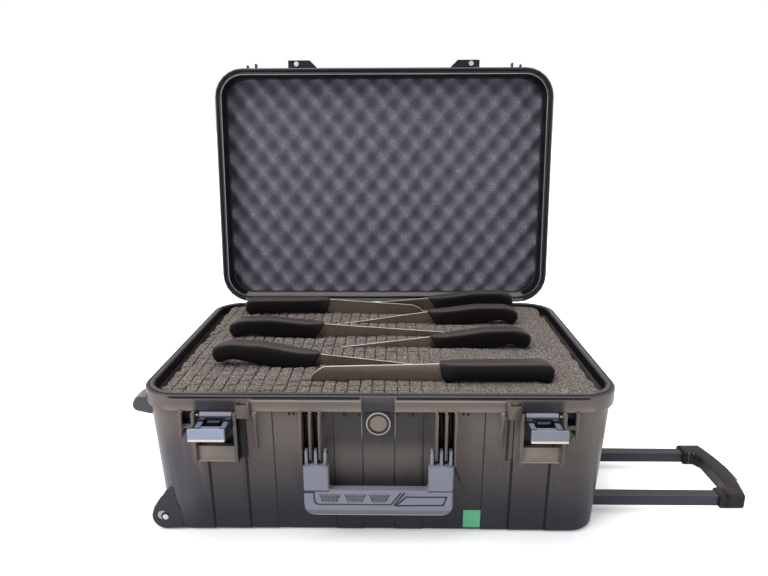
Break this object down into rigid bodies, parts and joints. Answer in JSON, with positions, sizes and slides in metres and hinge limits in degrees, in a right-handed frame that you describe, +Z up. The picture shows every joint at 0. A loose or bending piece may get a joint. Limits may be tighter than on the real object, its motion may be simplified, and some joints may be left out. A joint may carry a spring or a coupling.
{
  "type": "wheeled knife case",
  "caption": "Open hard wheeled case with a hinged lid, latches, a carry handle, a pull-out handle and cut foam that holds chef knives.",
  "frame": {"origin": "centre of the underside of the case, on the surface that it stands on", "axes": "+X lengthwise to the pull-out handle, with the wheels at -X; +Y from the latches at the front to the hinges at the back; +Z up"},
  "size_m": [0.7826, 0.5379, 0.5919],
  "materials": {
    "shell": "satin",
    "dark": "satin",
    "grey": "satin",
    "grey_soft": "matte",
    "pluck_foam": "matte",
    "egg_foam": "matte",
    "rubber": "matte",
    "foot": "matte",
    "tyre": "matte",
    "steel": "satin",
    "blade": "satin",
    "tube": "satin",
    "knife_grip": "matte",
    "label_green": "matte"
  },
  "bodies": {
    "base": {"base_shell": "shell", "bottom_cover": "dark", "base_foam_lower": "pluck_foam", "base_foam_upper": "pluck_foam", "valve_body": "shell", "valve_vent": "shell", "label": "label_green", "latch_pin_left": "steel", "latch_pin_right": "steel", "handle_pin_left": "steel", "handle_pin_right": "steel", "hinge_pin_left": "steel", "hinge_pin_right": "steel", "wheel_housing_front": "dark", "wheel_housing_rear": "dark", "wheel_axle_front": "steel", "wheel_axle_rear": "steel", "stand_foot_front": "foot", "stand_foot_rear": "foot", "trolley_guide_front": "dark", "trolley_guide_rear": "dark"},
    "lid": {"lid_shell": "shell", "lid_foam": "egg_foam", "lid_gasket": "rubber", "lid_lug_left": "grey", "lid_lug_right": "grey", "lug_screw_left": "steel", "lug_screw_right": "steel"},
    "latch_left": {"latch_body_left": "dark", "trigger_pin_left": "steel"},
    "latch_right": {"latch_body_right": "dark", "trigger_pin_right": "steel"},
    "trigger_left": {"latch_trigger_left": "grey"},
    "trigger_right": {"latch_trigger_right": "grey"},
    "carry_handle": {"carry_handle": "grey", "handle_pad": "grey_soft"},
    "trolley": {"trolley_grip": "dark", "trolley_tube_front": "tube", "trolley_tube_rear": "tube"},
    "trolley_button": {"trolley_button": "grey"},
    "wheel_front": {"wheel_tyre_front": "tyre", "wheel_hub_front": "dark"},
    "wheel_rear": {"wheel_tyre_rear": "tyre", "wheel_hub_rear": "dark"},
    "knife_1": {"knife_1_blade": "blade", "knife_1_handle": "knife_grip"},
    "knife_2": {"knife_2_blade": "blade", "knife_2_handle": "knife_grip"},
    "knife_3": {"knife_3_blade": "blade", "knife_3_handle": "knife_grip"},
    "knife_4": {"knife_4_blade": "blade", "knife_4_handle": "knife_grip"},
    "knife_5": {"knife_5_blade": "blade", "knife_5_handle": "knife_grip"},
    "knife_6": {"knife_6_blade": "blade", "knife_6_handle": "knife_grip"},
    "knife_7": {"knife_7_blade": "blade", "knife_7_handle": "knife_grip"}
  },
  "joints": [
    {"name": "lid_hinge", "type": "hinge", "parent": "base", "child": "lid", "pos_m": [0, 0.205, 0.1784], "axis": [-1, 0, 0], "range_deg": [-94.3, 0]},
    {"name": "latch_left_hinge", "type": "hinge", "parent": "base", "child": "latch_left", "pos_m": [-0.1885, -0.198, 0.1637], "axis": [1, 0, 0], "range_deg": [-90, 20]},
    {"name": "trigger_left_hinge", "type": "hinge", "parent": "latch_left", "child": "trigger_left", "pos_m": [-0.1885, -0.226, 0.1567], "axis": [1, 0, 0], "range_deg": [0, 12], "stiffness_Nm_per_rad": 0.1},
    {"name": "latch_right_hinge", "type": "hinge", "parent": "base", "child": "latch_right", "pos_m": [0.1885, -0.198, 0.1637], "axis": [1, 0, 0], "range_deg": [-90, 20]},
    {"name": "trigger_right_hinge", "type": "hinge", "parent": "latch_right", "child": "trigger_right", "pos_m": [0.1885, -0.226, 0.1567], "axis": [1, 0, 0], "range_deg": [0, 12], "stiffness_Nm_per_rad": 0.1},
    {"name": "carry_handle_hinge", "type": "hinge", "parent": "base", "child": "carry_handle", "pos_m": [0, -0.2, 0.1185], "axis": [-1, 0, 0], "range_deg": [0, 100]},
    {"name": "trolley_slide", "type": "slide", "parent": "base", "child": "trolley", "axis": [1, 0, 0], "range_m": [-0.165, 0.23]},
    {"name": "trolley_button_press", "type": "slide", "parent": "trolley", "child": "trolley_button", "axis": [-1, 0, 0], "range_m": [0, 0.003], "stiffness_N_per_m": 500},
    {"name": "wheel_front_spin", "type": "hinge", "parent": "base", "child": "wheel_front", "pos_m": [-0.265, -0.1675, 0.019], "axis": [0, 1, 0], "continuous": true},
    {"name": "wheel_rear_spin", "type": "hinge", "parent": "base", "child": "wheel_rear", "pos_m": [-0.265, 0.1675, 0.019], "axis": [0, 1, 0], "continuous": true},
    {"name": "knife_1_lift", "type": "slide", "parent": "base", "child": "knife_1", "axis": [0, 0, 1], "range_m": [0, 0.06]},
    {"name": "knife_2_lift", "type": "slide", "parent": "base", "child": "knife_2", "axis": [0, 0, 1], "range_m": [0, 0.06]},
    {"name": "knife_3_lift", "type": "slide", "parent": "base", "child": "knife_3", "axis": [0, 0, 1], "range_m": [0, 0.06]},
    {"name": "knife_4_lift", "type": "slide", "parent": "base", "child": "knife_4", "axis": [0, 0, 1], "range_m": [0, 0.06]},
    {"name": "knife_5_lift", "type": "slide", "parent": "base", "child": "knife_5", "axis": [0, 0, 1], "range_m": [0, 0.06]},
    {"name": "knife_6_lift", "type": "slide", "parent": "base", "child": "knife_6", "axis": [0, 0, 1], "range_m": [0, 0.06]},
    {"name": "knife_7_lift", "type": "slide", "parent": "base", "child": "knife_7", "axis": [0, 0, 1], "range_m": [0, 0.06]}
  ]
}
